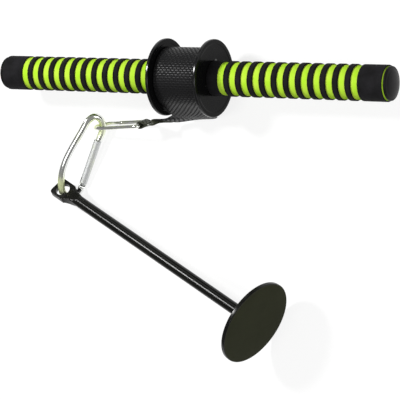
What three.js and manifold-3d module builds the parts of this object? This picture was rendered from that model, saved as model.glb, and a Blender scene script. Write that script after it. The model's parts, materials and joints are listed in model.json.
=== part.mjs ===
// Wrist roller: a foam-gripped bar with a flanged drum, a wound strap, two snap links and a loading pin,
// laid out on a bench. Millimetres, +Z up, +X along the bar from the far end to the near end.
import * as THREE from 'three';
import { mergeVertices } from 'three/addons/utils/BufferGeometryUtils.js';
import Module from 'manifold-3d';

const wasm = await Module();
wasm.setup();

const degrees = Math.PI / 180;

// Shared clearances, cuts and facets
const seatGap = 0.3;          // between a piece and what it sits on
const cutOver = 1;            // how far a cutter runs past the stock
const roundSides = 40;        // facets of the large turned pieces
const ringSides = 24;         // facets of the foam rings
const rodSides = 20;          // facets of the loading pin's rod
const pinSides = 12;          // facets of small pins
const wireSides = 10;         // facets of the bent wire
const restShare = Math.cos(Math.PI / roundSides);   // middle of a flat facet, as a share of the radius

// Strap
const strapWidth = 50;
const strapThickness = 1.5;
const leaveAngle = 69;        // degrees from the top of the drum to where the strap leaves
const windStartAngle = 32;    // degrees past the leaving line where the outer turn begins
const turnGap = 0.45;         // between the outer turn and the turns under it
const loopGap = 0.3;          // between the sewn loop and the wire in it
const strapSideGap = 0.5;     // between the strap's edge and a flange
const windSteps = 40;
const runSteps = 16;
const acrossSteps = 4;

// Bar
const tubeRadius = 12.5;
const tubeWall = 1.5;
const tubeRecess = 4.4;       // from the grip's outer end in to the tube's end
const capInset = 1.2;         // the cap is this much smaller in radius than the sleeve beside it
const capRim = 2.4;
const capDome = 2.4;
const capSpigotLength = 18;

// Drum
const hubWall = 8.5;
const woundDepth = 9.5;       // from the hub out to the outside of the outer turn
const flangeStand = 8.5;      // from there out to the flange's rim
const flangeThickness = 3;
const flangeEdge = 0.7;
const crossPinRadius = 2.5;
const flangeScrewCount = 3;
const flangeScrewRadius = 1.5;
const flangeScrewHeadRadius = 2.6;
const flangeScrewLength = 12;

// Grips: a green foam base with black foam rings on it
const baseWall = 4;
const ringInset = 0.25;       // air between the base and a ring
const ringWall = 1.3;         // how far a ring stands out from the base
const ringCrown = 0.5;        // how far a ring's edges fall below its crown
const innerSleeve = 12.2;     // black sleeve next to the drum
const outerSleeve = 25.55;    // black sleeve next to the cap
const bandCount = 12;
const bandPitch = 13.25;
const greenBand = 6.9;
const baseShow = 0.9;         // green base left bare at the outer end

// What follows from these
const hubRadius = tubeRadius + hubWall;
const woundRadius = hubRadius + woundDepth;
const flangeRadius = woundRadius + flangeStand;
const hubHalfLength = strapWidth / 2 + strapSideGap;
const flangeInner = hubHalfLength + seatGap;
const flangeOuter = flangeInner + flangeThickness;
const gripStart = flangeOuter + seatGap;
const baseRadius = tubeRadius + baseWall;
const ringRadius = baseRadius + ringWall;
const capRadius = ringRadius - capInset;
const firstBand = gripStart + innerSleeve;
const lastSleeve = firstBand + (bandCount - 1) * bandPitch + greenBand;
const foamHalfLength = lastSleeve + outerSleeve + baseShow;
const tubeHalfLength = foamHalfLength - tubeRecess;
const barHeight = flangeRadius * restShare;

// Snap hook between the strap and the carabiner
const hook = {
  name: 'snap_hook',
  reach: 62.8,                // between the middles of the end wires
  breadth: 20.4,              // between the middles of the side wires
  corner: 4,                  // bend at the strap's end, which is straight between its corners
  wireRadius: 2,
  gateRadius: 2.3,
  gateFrom: 7,
  gateTo: 34,
  tongue: 1.7,
  rivetRadius: 0.9,
  gateWall: 0.9,
  springWire: 0.25,
  heading: 183.6,
  rise: -10,
  lean: 71.4,
};
const hookSide = 63.1;        // from the middle of the bar to the end wire that the strap holds
const hookOut = 8.6;          // from the flange's rim out to that wire
const hookHeight = 21.3;
hook.at = new THREE.Vector3(-hookSide, -flangeRadius - hookOut, hookHeight);
hook.middle = hook.breadth / 2;
const foldHeight = hook.breadth - 2 * hook.corner - 2 * loopGap;

// Carabiner between the snap hook and the loading pin
const carabiner = {
  name: 'carabiner',
  reach: 92,
  breadth: 26,
  wireRadius: 3.6,
  gateRadius: 3.9,
  gateFrom: 0,
  gateTo: 48,
  tongue: 2.6,
  rivetRadius: 1.4,
  gateWall: 1.4,
  springWire: 0.4,
  heading: 68.1,
  rise: 5.5,
  lean: 48,
  middle: 0,
};
// Where the two wires touch: how far round each one, and which way the one lies from the other
const touch = { hookShare: 0.745, carabinerShare: 0.89, around: 170.6, tip: -17.4, gap: 0.4 };

// Loading pin
const rodRadius = 6;
const plateRadius = 44;
const plateThickness = 4;
const plateEdge = 0.8;
const weldSize = 2.5;
const eyeSlack = 3.9;         // between the carabiner's wire and the eye's wall, all on one side
const eyeWall = 3;
const eyeThickness = 7;
const eyeCorner = 4;
const eyeNeck = 15;           // from the square eye to the round rod
const pinLength = 282;        // from the eye's middle to the plate's outer face
const pinHeading = -24.6;
const pinRoll = -36;
const eyeOnWireShare = 0.28;
const eyeSlackShares = [0.3, 0.3];    // how the slack is spent, along the pin and across it

// Shapes and places as shares of the sizes that they follow
const carabinerShares = [       // of its reach and breadth, from the gate's rivet round to the nose
  [-0.015, 0], [-0.12, 0.05], [-0.191, 0.262], [-0.204, 0.481], [-0.176, 0.692], [-0.087, 0.854],
  [0.038, 0.977], [0.185, 1], [0.359, 0.923], [0.565, 0.777], [0.717, 0.662], [0.789, 0.469],
  [0.78, 0.215], [0.723, 0.023], [0.62, -0.045],
];
const nearEdgeShares = [        // of the way to the hook, the way out past the rim, and the bar's height
  [-0.393, 0.919, 0.72], [-0.475, 0.97, 0.617], [-0.57, 1.029, 0.617], [-0.79, 1.073, 0.694],
];
const farEdgeShares = [
  [0.388, 0.895, 0.566], [0.27, 0.936, 0.309], [-0.095, 0.97, 0.167], [-0.523, 1.071, 0.193],
];
const domeShares = [[0.6, 0.78], [0.9, 0.45]];        // of the dome's height and the cap's radius
const beadShares = [[1, 0], [0.7, 0.5], [0.3, 0.85], [0, 1]];    // of the weld, back and out
const loopReachShare = 2.6;     // length of the sewn loop, in its outer radii
const loopFlatShare = 0.8;      // where its sides meet, of that length
const loopRoundShare = 0.6;     // where its round end begins, in its outer radii
const loopSeamShare = 1.02;     // half height of the seam, in strap thicknesses
const wireStartShare = 0.4;     // the following are in wire radii
const forkShare = 1.35;
const noseShare = 1.6;
const noseEndShare = 1.3;
const heelShare = 0.75;         // of the gate's radius
const springShare = 0.3;        // of the gate's length
const shoulderShare = 0.85;     // of half the eye
const neckBendShares = [0.3, 0.55];
const neckRodShares = [0.55, 0.86];
const neckEndShare = 0.96;      // of the rod's radius
const neckRootShare = 0.45;     // of the eye's thickness

// Steps of curves
const linkSteps = 44;
const cornerTurns = 3;
const bowTurns = 8;
const holeTurns = 8;
const coilCount = 5;
const coilSteps = 8;
const coilSides = 5;
const nextSections = 6;         // sections of the strap that are neighbours, not another turn

function material(colour, roughness, metalness) {
  return new THREE.MeshStandardMaterial({ color: colour, roughness, metalness });
}

const steelFinish = material(0xb9bcc0, 0.3, 0.9);
const zincFinish = material(0xc8cbd0, 0.22, 0.95);
const blackPlastic = material(0x161618, 0.25, 0);
const blackFoam = material(0x1b1b1d, 0.85, 0);
const greenFoam = material(0x9be513, 0.7, 0);
const webbingBlack = material(0x17171a, 0.6, 0);
const blackPaint = material(0x0c0d0b, 0.3, 0.4);
const olivePaint = material(0x2f3023, 0.45, 0.3);

function node(name, geometry, finish) {
  const mesh = new THREE.Mesh(geometry, finish);
  mesh.name = name;
  return mesh;
}

function solidOf(geometry) {
  const bare = geometry.clone();
  bare.deleteAttribute('normal');
  bare.deleteAttribute('uv');
  const merged = mergeVertices(bare, 1e-4);
  const vertProperties = new Float32Array(merged.attributes.position.array);
  const triVerts = new Uint32Array(merged.index.array);
  return new wasm.Manifold(new wasm.Mesh({ numProp: 3, vertProperties, triVerts }));
}

function geometryOf(solid) {
  const mesh = solid.getMesh();
  const geometry = new THREE.BufferGeometry();
  geometry.setAttribute('position', new THREE.BufferAttribute(new Float32Array(mesh.vertProperties), 3));
  geometry.setIndex(new THREE.BufferAttribute(new Uint32Array(mesh.triVerts), 1));
  geometry.computeVertexNormals();
  return geometry;
}

// A closed profile of [along, radius] points turned about the X axis, with a facet flat underneath
function turned(points, sides) {
  const profile = points.map(([along, radius]) => new THREE.Vector2(radius, along));
  const isRing = points[0][1] > 0;
  if (isRing) profile.push(profile[0].clone());
  const geometry = new THREE.LatheGeometry(profile, sides);
  return geometry.rotateZ(-Math.PI / 2).rotateX(Math.PI / sides);
}

function tubeAlongX(from, to, inner, outer, sides) {
  return turned([[from, inner], [from, outer], [to, outer], [to, inner]], sides);
}

function rodAlong(axis, radius, length, sides) {
  const geometry = new THREE.CylinderGeometry(radius, radius, length, sides);
  if (axis === 'x') geometry.rotateZ(Math.PI / 2);
  if (axis === 'z') geometry.rotateX(Math.PI / 2);
  return geometry;
}

function coreTube() {
  const inner = tubeRadius - tubeWall;
  const tube = solidOf(tubeAlongX(-tubeHalfLength, tubeHalfLength, inner, tubeRadius, roundSides));
  const hole = solidOf(rodAlong('y', crossPinRadius + seatGap, 2 * (tubeRadius + cutOver), pinSides));
  return geometryOf(tube.subtract(hole));
}

function flangeScrewPlaces(side) {
  const places = [];
  const circle = (tubeRadius + seatGap + hubRadius) / 2;
  for (let i = 0; i < flangeScrewCount; i += 1) {
    const angle = (2 * Math.PI * i) / flangeScrewCount;
    places.push([side * flangeOuter, circle * Math.cos(angle), circle * Math.sin(angle)]);
  }
  return places;
}

// Countersunk screw along X, its head flush with the flange's outer face
function flangeScrew(side) {
  const sink = flangeScrewHeadRadius - flangeScrewRadius;
  const screw = turned([
    [-flangeScrewLength, 0], [-flangeScrewLength, flangeScrewRadius], [-sink, flangeScrewRadius],
    [0, flangeScrewHeadRadius], [0, 0],
  ], pinSides);
  return side < 0 ? screw.rotateY(Math.PI) : screw;
}

function flangeScrewHole(side) {
  const sink = flangeScrewHeadRadius - flangeScrewRadius + seatGap;
  const bottom = flangeScrewLength + seatGap;
  const shank = flangeScrewRadius + seatGap;
  const head = flangeScrewHeadRadius + seatGap;
  const hole = turned([
    [-bottom, 0], [-bottom, shank], [-sink, shank], [-seatGap, head], [cutOver, head], [cutOver, 0],
  ], pinSides);
  return side < 0 ? hole.rotateY(Math.PI) : hole;
}

function cutFlangeScrews(solid, side) {
  let result = solid;
  for (const place of flangeScrewPlaces(side)) {
    result = result.subtract(solidOf(flangeScrewHole(side).translate(...place)));
  }
  return result;
}

function drumHub() {
  const bore = tubeRadius + seatGap;
  let hub = solidOf(tubeAlongX(-hubHalfLength, hubHalfLength, bore, hubRadius, roundSides));
  const hole = rodAlong('y', crossPinRadius + seatGap, 2 * (hubRadius + cutOver), pinSides);
  hub = hub.subtract(solidOf(hole));
  hub = cutFlangeScrews(hub, 1);
  hub = cutFlangeScrews(hub, -1);
  return geometryOf(hub);
}

function flange(side) {
  const bore = tubeRadius + seatGap;
  const rim = flangeRadius - flangeEdge;
  const disc = turned([
    [flangeInner, bore], [flangeInner, rim], [flangeInner + flangeEdge, flangeRadius],
    [flangeOuter - flangeEdge, flangeRadius], [flangeOuter, rim], [flangeOuter, bore],
  ], roundSides);
  if (side < 0) disc.rotateY(Math.PI);
  return geometryOf(cutFlangeScrews(solidOf(disc), side));
}

function gripBase() {
  return tubeAlongX(gripStart, foamHalfLength, tubeRadius + seatGap, baseRadius, ringSides);
}

// A foam ring or sleeve with softly crowned edges
function foamRing(from, to) {
  const inner = baseRadius + ringInset;
  const shoulder = ringRadius - ringCrown;
  const crownIn = 2 * ringCrown;
  const middle = (from + to) / 2;
  const crown = to - from > 2 * (bandPitch - greenBand)
    ? [[from + crownIn, ringRadius], [to - crownIn, ringRadius]]
    : [[middle, ringRadius]];
  return turned([[from, inner], [from, shoulder], ...crown, [to, shoulder], [to, inner]], ringSides);
}

function ringSpans() {
  const spans = [[gripStart, firstBand]];
  for (let i = 1; i < bandCount; i += 1) {
    const end = firstBand + i * bandPitch;
    spans.push([end - bandPitch + greenBand, end]);
  }
  spans.push([lastSleeve, foamHalfLength - baseShow]);
  return spans;
}

function endCap() {
  const spigot = tubeRadius - tubeWall - seatGap;
  const seat = foamHalfLength + seatGap;
  const rim = seat + capRim;
  const dome = domeShares.map(([up, out]) => [rim + up * capDome, out * capRadius]);
  return turned([
    [tubeHalfLength - capSpigotLength, 0], [tubeHalfLength - capSpigotLength, spigot], [seat, spigot],
    [seat, capRadius], [rim, capRadius], ...dome, [rim + capDome, 0],
  ], ringSides);
}

// The wound strap: one band whose mid line is given by a point, a half-width vector and a thickness normal
function bandGeometry(sections) {
  const positions = [];
  const columns = acrossSteps + 1;
  for (const section of sections) {
    for (const side of [1, -1]) {
      for (let j = 0; j < columns; j += 1) {
        const share = (2 * j) / acrossSteps - 1;
        const point = section.middle.clone()
          .addScaledVector(section.half, share)
          .addScaledVector(section.normal, side * strapThickness / 2);
        positions.push(point.x, point.y, point.z);
      }
    }
  }
  const index = [];
  const ring = 2 * columns;
  const order = [];
  for (let j = 0; j < columns; j += 1) order.push(j);
  for (let j = columns - 1; j >= 0; j -= 1) order.push(columns + j);
  for (let i = 0; i + 1 < sections.length; i += 1) {
    for (let k = 0; k < ring; k += 1) {
      const a = i * ring + order[k];
      const b = i * ring + order[(k + 1) % ring];
      index.push(a, a + ring, b, b, a + ring, b + ring);
    }
  }
  const last = (sections.length - 1) * ring;
  for (let j = 0; j + 1 < columns; j += 1) {
    index.push(j, j + 1, columns + j, j + 1, columns + j + 1, columns + j);
    index.push(last + j, last + columns + j, last + j + 1);
    index.push(last + j + 1, last + columns + j, last + columns + j + 1);
  }
  const geometry = new THREE.BufferGeometry();
  geometry.setAttribute('position', new THREE.Float32BufferAttribute(positions, 3));
  geometry.setIndex(index);
  return geometry;
}

const turnMiddle = woundRadius - strapThickness / 2;

function onDrum(angle) {
  const turn = angle * degrees;
  return {
    middle: new THREE.Vector3(0, -turnMiddle * Math.sin(turn), turnMiddle * Math.cos(turn)),
    half: new THREE.Vector3(strapWidth / 2, 0, 0),
    normal: new THREE.Vector3(0, -Math.sin(turn), Math.cos(turn)),
  };
}

// Place of a link: its origin is the middle of the wire at its near end
function linkPlace(link) {
  const turn = new THREE.Euler(link.lean * degrees, -link.rise * degrees, link.heading * degrees, 'ZYX');
  return new THREE.Matrix4().makeRotationFromEuler(turn).setPosition(link.at);
}

// From there to the gate's rivet, where the link's own curve starts
function linkInner(link) {
  return new THREE.Matrix4().makeTranslation(link.gateFrom, -link.middle, 0);
}

// From the drum the strap drops outwards past the flange's rim, turns on edge and runs to the snap hook.
// Both edges are curves, and the band is the surface ruled between them.
function strapRun() {
  const leave = onDrum(leaveAngle);
  const rim = flangeRadius + seatGap + strapThickness;
  const place = linkPlace(hook);
  const raised = new THREE.Vector3(0, 0, -barHeight);
  const atHook = (back, side) => {
    const point = new THREE.Vector3(-back, side * foldHeight / 2, 0);
    return point.applyMatrix4(place).add(raised);
  };
  const onWay = ([x, y, z]) => new THREE.Vector3(x * hookSide, -y * rim, (z - 1) * barHeight);
  const edge = (first, shares, side) => new THREE.CatmullRomCurve3([
    first, ...shares.map(onWay), atHook(2 * loopReach, side), atHook(loopReach, side),
  ]);
  const nearEdge = edge(leave.middle.clone().sub(leave.half), nearEdgeShares, 1);
  const farEdge = edge(leave.middle.clone().add(leave.half), farEdgeShares, -1);
  const sections = [];
  for (let i = 1; i <= runSteps; i += 1) {
    const t = i / runSteps;
    const near = nearEdge.getPoint(t);
    const far = farEdge.getPoint(t);
    const along = nearEdge.getTangent(t).add(farEdge.getTangent(t));
    const half = far.clone().sub(near).divideScalar(2);
    const normal = half.clone().cross(along).normalize().negate();
    sections.push({ middle: near.clone().add(far).divideScalar(2), half, normal });
  }
  return sections;
}

const loopInner = hook.wireRadius + loopGap;
const loopOuter = loopInner + strapThickness;
const loopReach = loopReachShare * loopOuter;

// The sewn loop: the strap's end folded round the wire, a wall of drop-shaped outline along the wire
function strapLoop() {
  const shape = new THREE.Shape();
  const tail = loopReach + strapThickness;
  const seam = strapThickness * loopSeamShare;
  shape.moveTo(-tail, seam);
  shape.lineTo(-tail, -seam);
  shape.lineTo(-loopReach * loopFlatShare, -seam);
  shape.lineTo(-loopOuter * loopRoundShare, -loopOuter);
  shape.absarc(0, 0, loopOuter, -Math.PI / 2, Math.PI / 2, false);
  shape.lineTo(-loopOuter * loopRoundShare, loopOuter);
  shape.lineTo(-loopReach * loopFlatShare, seam);
  const hole = new THREE.Path();
  hole.absarc(0, 0, loopInner, 0, 2 * Math.PI, true);
  shape.holes.push(hole);
  const wall = new THREE.ExtrudeGeometry(shape, {
    depth: foldHeight, bevelEnabled: false, curveSegments: holeTurns,
  });
  wall.translate(0, 0, -foldHeight / 2).rotateX(-Math.PI / 2);
  return wall.applyMatrix4(linkPlace(hook)).translate(0, 0, -barHeight);
}

function strap() {
  const sections = [];
  const start = leaveAngle + windStartAngle - 360;
  for (let i = 0; i <= windSteps; i += 1) {
    sections.push(onDrum(start + ((leaveAngle - start) * i) / windSteps));
  }
  sections.push(...strapRun());
  let gap = Infinity;
  for (let i = 0; i < sections.length; i += 1) {
    for (let j = i + nextSections; j < sections.length; j += 1) {
      for (let a = -acrossSteps; a <= acrossSteps; a += 1) {
        for (let b = -acrossSteps; b <= acrossSteps; b += 1) {
          const p = sections[i].middle.clone().addScaledVector(sections[i].half, a / acrossSteps);
          const q = sections[j].middle.clone().addScaledVector(sections[j].half, b / acrossSteps);
          gap = Math.min(gap, p.distanceTo(q) - strapThickness);
        }
      }
    }
  }
  console.log(`strap: least gap to itself ${gap.toFixed(2)} mm`);
  const band = solidOf(bandGeometry(sections));
  return geometryOf(band.add(solidOf(strapLoop())));
}

// The carabiner's wire in its own plane, from the gate's rivet round to the nose
function carabinerCurve() {
  const { reach, breadth, gateTo, wireRadius } = carabiner;
  const points = carabinerShares.map(([x, y]) => new THREE.Vector3(x * reach, y * breadth, 0));
  points.push(new THREE.Vector3(gateTo - noseEndShare * wireRadius, 0, 0));
  return new THREE.CatmullRomCurve3(points);
}

// The snap hook's wire: straight along the strap's end, square at its corners, and round at the far end
function hookCurve() {
  const { corner, breadth, reach, gateFrom, gateTo, wireRadius } = hook;
  const round = breadth / 2;
  const points = [new THREE.Vector3(-wireStartShare * wireRadius, 0, 0)];
  const addArc = (x, y, radius, from, turn, turns) => {
    for (let i = 0; i <= turns; i += 1) {
      const angle = from - (turn * i) / turns;
      points.push(new THREE.Vector3(x + radius * Math.cos(angle), y + radius * Math.sin(angle), 0));
    }
  };
  const square = Math.PI / 2;
  addArc(corner - gateFrom, corner, corner, -square, square, cornerTurns);
  addArc(corner - gateFrom, breadth - corner, corner, 2 * square, square, cornerTurns);
  addArc(reach - gateFrom - round, round, round, square, 2 * square, bowTurns);
  points.push(new THREE.Vector3(gateTo - noseEndShare * wireRadius, 0, 0));
  return new THREE.CatmullRomCurve3(points);
}

function circleShape(radius, sides) {
  const shape = new THREE.Shape();
  for (let i = 0; i < sides; i += 1) {
    const angle = (2 * Math.PI * i) / sides;
    const x = radius * Math.cos(angle);
    const y = radius * Math.sin(angle);
    if (i === 0) shape.moveTo(x, y);
    else shape.lineTo(x, y);
  }
  shape.closePath();
  return shape;
}

function block(x0, x1, y0, y1, z0, z1) {
  const box = new THREE.BoxGeometry(x1 - x0, y1 - y0, z1 - z0);
  return box.translate((x0 + x1) / 2, (y0 + y1) / 2, (z0 + z1) / 2);
}

function flatten(solid, x0, x1, y0, y1, link) {
  const half = link.tongue / 2;
  const far = 2 * link.wireRadius;
  const upper = solidOf(block(x0, x1, y0, y1, half, far));
  const lower = solidOf(block(x0, x1, y0, y1, -far, -half));
  return solid.subtract(upper).subtract(lower);
}

function linkBody(curve, link) {
  const wire = new THREE.ExtrudeGeometry(circleShape(link.wireRadius, wireSides), {
    steps: linkSteps, extrudePath: curve, bevelEnabled: false,
  });
  const heel = rodAlong('z', link.wireRadius, 2 * link.wireRadius, wireSides);
  let body = solidOf(wire).add(solidOf(heel));
  const fork = link.wireRadius * forkShare + seatGap;
  const side = 2 * link.wireRadius;
  body = flatten(body, -fork, fork + cutOver, -side, side, link);
  const noseFrom = link.gateTo - link.wireRadius * noseShare;
  body = flatten(body, noseFrom - cutOver, link.gateTo + 2 * seatGap, -side, side, link);
  const bore = rodAlong('z', link.rivetRadius + seatGap / 2, 4 * link.wireRadius, pinSides);
  return geometryOf(body.subtract(solidOf(bore)));
}

function linkGate(link) {
  const heel = link.gateRadius * heelShare;
  let gate = solidOf(rodAlong('x', link.gateRadius, link.gateTo, wireSides).translate(link.gateTo / 2, 0, 0));
  gate = gate.add(solidOf(rodAlong('z', heel, 2 * heel, wireSides)));
  const slot = link.tongue / 2 + seatGap;
  const side = 2 * link.gateRadius;
  const forkTo = springStart(link);
  gate = gate.subtract(solidOf(block(-side, forkTo, -side, side, -slot, slot)));
  const noseFrom = link.gateTo - link.wireRadius * noseShare - seatGap;
  gate = gate.subtract(solidOf(block(noseFrom, link.gateTo + cutOver, -side, side, -slot, slot)));
  const bore = rodAlong('z', link.rivetRadius + seatGap / 2, 4 * link.gateRadius, pinSides);
  gate = gate.subtract(solidOf(bore));
  const springBore = rodAlong('x', link.gateRadius - link.gateWall, springLength(link) + seatGap, pinSides);
  springBore.translate(forkTo + springLength(link) / 2, 0, 0);
  return geometryOf(gate.subtract(solidOf(springBore)));
}

function springStart(link) {
  return link.wireRadius * forkShare + 2 * seatGap;
}

function springLength(link) {
  return springShare * link.gateTo;
}

// Coil spring in the gate's bore that pushes the gate shut
function gateSpring(link) {
  const wire = link.springWire;
  const radius = link.gateRadius - link.gateWall - wire - seatGap;
  const first = springStart(link) + wire;
  const length = springLength(link) - 2 * wire - seatGap;
  const steps = coilCount * coilSteps;
  const points = [];
  for (let i = 0; i <= steps; i += 1) {
    const angle = (2 * Math.PI * i) / coilSteps;
    const along = first + (length * i) / steps;
    points.push(new THREE.Vector3(along, radius * Math.cos(angle), radius * Math.sin(angle)));
  }
  const curve = new THREE.CatmullRomCurve3(points);
  const pitch = length / coilCount;
  console.log(`${link.name} gate spring: least gap to itself ${(pitch - 2 * wire).toFixed(2)} mm`);
  return new THREE.ExtrudeGeometry(circleShape(wire, coilSides), {
    steps, extrudePath: curve, bevelEnabled: false,
  });
}

function rivet(link) {
  return rodAlong('z', link.rivetRadius, 2 * link.gateRadius * heelShare - seatGap, pinSides);
}

function linkGroup(link, curve) {
  const group = new THREE.Group();
  group.name = link.name;
  group.applyMatrix4(linkPlace(link));
  const inner = new THREE.Group();
  inner.applyMatrix4(linkInner(link));
  group.add(inner);
  inner.add(node(`${link.name}_body`, linkBody(curve, link), zincFinish));
  const gate = new THREE.Group();
  gate.name = `${link.name}_gate_pivot`;
  gate.add(node(`${link.name}_gate`, linkGate(link), zincFinish));
  gate.add(node(`${link.name}_gate_spring`, gateSpring(link), steelFinish));
  inner.add(gate);
  inner.add(node(`${link.name}_rivet`, rivet(link), steelFinish));
  return group;
}

// The carabiner's wire lies against the snap hook's, so its own place follows from where they touch
function hangCarabiner() {
  const hookWire = hookCurve().getPoint(touch.hookShare);
  const apart = hook.wireRadius + carabiner.wireRadius + touch.gap;
  const turn = new THREE.Euler(0, -touch.tip * degrees, touch.around * degrees, 'ZYX');
  const towards = new THREE.Vector3(apart, 0, 0).applyEuler(turn);
  const meets = hookWire.add(towards).applyMatrix4(linkInner(hook)).applyMatrix4(linkPlace(hook));
  carabiner.at = new THREE.Vector3();
  const offset = carabinerCurve().getPoint(touch.carabinerShare);
  offset.applyMatrix4(linkInner(carabiner)).applyMatrix4(linkPlace(carabiner));
  carabiner.at.copy(meets).sub(offset);
}

const eyeHoleRadius = carabiner.wireRadius + eyeSlack;

// The rod's end is forged to a square eye: a flat outline with a hole, necked down to the round rod
function pinRod() {
  const half = eyeHoleRadius + eyeWall;
  const neckEnd = half + eyeNeck;
  const bend = half + eyeNeck * neckBendShares[0];
  const shape = new THREE.Shape();
  shape.moveTo(eyeCorner - half, -half);
  shape.lineTo(half * shoulderShare, -half);
  shape.quadraticCurveTo(bend, -half * neckBendShares[1], neckEnd, -rodRadius * neckEndShare);
  shape.lineTo(neckEnd, rodRadius * neckEndShare);
  shape.quadraticCurveTo(bend, half * neckBendShares[1], half * shoulderShare, half);
  shape.lineTo(eyeCorner - half, half);
  shape.absarc(eyeCorner - half, half - eyeCorner, eyeCorner, Math.PI / 2, Math.PI, false);
  shape.absarc(eyeCorner - half, eyeCorner - half, eyeCorner, Math.PI, 1.5 * Math.PI, false);
  const hole = new THREE.Path();
  hole.absarc(0, 0, eyeHoleRadius, 0, 2 * Math.PI, true);
  shape.holes.push(hole);
  const flat = new THREE.ExtrudeGeometry(shape, {
    depth: eyeThickness, bevelEnabled: false, curveSegments: holeTurns,
  });
  flat.translate(0, 0, -eyeThickness / 2);
  const rodEnd = pinLength - plateThickness - seatGap;
  const root = (eyeHoleRadius + half) / 2;
  const rod = turned([
    [root, 0], [root, eyeThickness * neckRootShare],
    [half + eyeNeck * neckRodShares[0], rodRadius * neckRodShares[1]],
    [neckEnd, rodRadius], [rodEnd, rodRadius], [rodEnd, 0],
  ], rodSides);
  return geometryOf(solidOf(flat).add(solidOf(rod)));
}

function pinPlate() {
  const back = pinLength - plateThickness;
  const rim = plateRadius - plateEdge;
  return turned([
    [back, 0], [back, rim], [back + plateEdge, plateRadius],
    [pinLength - plateEdge, plateRadius], [pinLength, rim], [pinLength, 0],
  ], roundSides);
}

function weldBead() {
  const back = pinLength - plateThickness - seatGap;
  const inner = rodRadius + seatGap;
  const bead = beadShares.map(([along, out]) => [back - along * weldSize, inner + out * weldSize]);
  return turned([...bead, [back, inner]], rodSides);
}

// The pin hangs on the carabiner's wire by its eye, and its plate stands on the bench
function loadingPin() {
  const wirePlace = linkPlace(carabiner).multiply(linkInner(carabiner));
  const onWire = carabinerCurve().getPoint(eyeOnWireShare).applyMatrix4(wirePlace);
  const along = eyeSlackShares[0] * eyeSlack;
  const across = eyeSlackShares[1] * eyeSlack;
  const reach = along + pinLength - plateThickness + plateEdge;
  const drop = plateRadius * restShare - across * Math.sin(pinRoll * degrees);
  const rise = Math.atan2(drop, reach) - Math.asin(onWire.z / Math.hypot(reach, drop));
  const group = new THREE.Group();
  group.name = 'loading_pin_pivot';
  group.rotation.set(pinRoll * degrees, -rise, pinHeading * degrees, 'ZYX');
  group.position.copy(onWire).add(new THREE.Vector3(along, across, 0).applyEuler(group.rotation));
  group.add(node('loading_pin_rod', pinRod(), blackPaint));
  group.add(node('loading_pin_weld', weldBead(), blackPaint));
  group.add(node('loading_pin_plate', pinPlate(), olivePaint));
  return group;
}

function roller() {
  const group = new THREE.Group();
  group.position.z = barHeight;
  group.add(node('core_tube', coreTube(), steelFinish));
  group.add(node('drum_hub', drumHub(), blackPlastic));
  const pinLengthInHub = 2 * (hubRadius - seatGap);
  group.add(node('drum_cross_pin', rodAlong('y', crossPinRadius, pinLengthInHub, pinSides), steelFinish));
  const coreOuter = woundRadius - strapThickness - turnGap;
  const half = strapWidth / 2;
  const wound = tubeAlongX(-half, half, hubRadius + seatGap, coreOuter, roundSides);
  group.add(node('strap_inner_turns', wound, webbingBlack));
  for (const [label, side] of [['left', -1], ['right', 1]]) {
    const end = new THREE.Group();
    if (side < 0) end.rotation.z = Math.PI;
    end.add(node(`${label}_grip_base`, gripBase(), greenFoam));
    ringSpans().forEach(([from, to], index) => {
      end.add(node(`${label}_foam_ring_${index + 1}`, foamRing(from, to), blackFoam));
    });
    end.add(node(`${label}_end_cap`, endCap(), blackPlastic));
    group.add(end);
    group.add(node(`${label}_flange`, flange(side), blackPlastic));
    flangeScrewPlaces(side).forEach((place, index) => {
      const screw = flangeScrew(side).translate(...place);
      group.add(node(`${label}_flange_screw_${index + 1}`, screw, steelFinish));
    });
  }
  return group;
}

function strapGroup() {
  const group = new THREE.Group();
  group.name = 'strap_pivot';
  group.position.z = barHeight;
  group.add(node('strap', strap(), webbingBlack));
  return group;
}

const layout = new THREE.Group();
layout.add(roller());
layout.add(strapGroup());
hangCarabiner();
layout.add(linkGroup(hook, hookCurve()));
layout.add(linkGroup(carabiner, carabinerCurve()));
layout.add(loadingPin());

// The origin is the middle of the whole layout's footprint, on the bench
const wristRoller = new THREE.Group();
wristRoller.add(layout);
wristRoller.updateMatrixWorld(true);
const extent = new THREE.Box3().setFromObject(wristRoller, true);
const middle = extent.getCenter(new THREE.Vector3());
layout.position.set(-middle.x, -middle.y, -extent.min.z);

export default wristRoller;
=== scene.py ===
# Wrist roller on a bench: foam grips, strap drum, snap hook, carabiner and loading pin. Metres, +Z up.
import json
import math
from functools import partial
import bpy
import numpy as np
from mathutils import Matrix, Vector


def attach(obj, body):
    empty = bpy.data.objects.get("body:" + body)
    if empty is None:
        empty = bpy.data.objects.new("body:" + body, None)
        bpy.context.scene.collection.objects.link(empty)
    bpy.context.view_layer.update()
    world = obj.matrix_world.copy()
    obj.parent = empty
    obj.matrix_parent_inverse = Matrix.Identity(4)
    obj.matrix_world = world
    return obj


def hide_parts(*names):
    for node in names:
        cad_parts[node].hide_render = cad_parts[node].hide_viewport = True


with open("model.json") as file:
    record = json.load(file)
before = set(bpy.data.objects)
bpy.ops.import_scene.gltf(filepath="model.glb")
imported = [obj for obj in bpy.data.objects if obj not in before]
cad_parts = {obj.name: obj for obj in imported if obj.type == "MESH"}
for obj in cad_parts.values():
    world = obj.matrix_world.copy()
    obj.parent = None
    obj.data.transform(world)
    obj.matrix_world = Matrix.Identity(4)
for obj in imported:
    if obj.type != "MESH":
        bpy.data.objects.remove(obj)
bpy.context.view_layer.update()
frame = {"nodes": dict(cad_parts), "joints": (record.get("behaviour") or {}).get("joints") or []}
nodes = frame["nodes"]
mm = 0.001
barCentre = np.array(next(j for j in frame["joints"] if j["name"] == "strap_winding")["pos_m"])
print("frame loaded:", len(nodes), "nodes")

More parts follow.
